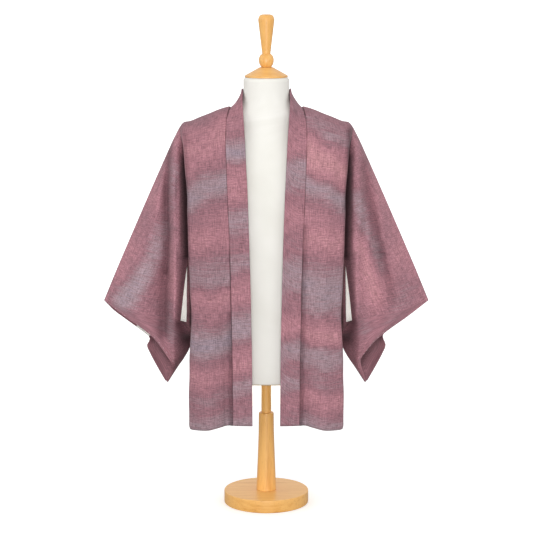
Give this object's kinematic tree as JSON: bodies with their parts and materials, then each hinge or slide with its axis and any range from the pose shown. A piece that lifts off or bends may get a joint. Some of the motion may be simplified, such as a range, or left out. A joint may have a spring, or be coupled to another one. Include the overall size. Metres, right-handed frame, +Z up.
{
  "type": "haori jacket on dress form",
  "caption": "Open-fronted Japanese jacket with square sleeves, worn on a limbless dress form that stands on a round wooden base.",
  "frame": {"origin": "middle of the underside of the round base", "axes": "+Z up, -Y to the front of the jacket, +X to the wearer's left"},
  "size_m": [0.761, 0.2611, 1.153],
  "materials": {
    "cloth": "matt slubby silk in soft bands of rose, plum and blue-grey",
    "lining": "matt off-white silk",
    "canvas": "matt off-white cotton jersey",
    "beech": "satin clear varnish"
  },
  "bodies": {
    "root": {"body_right": "cloth", "body_left": "cloth", "collar": "cloth", "gusset_right": "cloth", "gusset_left": "cloth", "sleeve_right": "cloth", "sleeve_left": "cloth", "sleeve_lining_front_right": "lining", "sleeve_lining_back_right": "lining", "sleeve_lining_front_left": "lining", "sleeve_lining_back_left": "lining", "back_lining": "lining", "torso": "canvas", "base": "beech", "post": "beech", "pole": "beech", "neck_cap": "beech", "finial": "beech"}
  },
  "joints": []
}
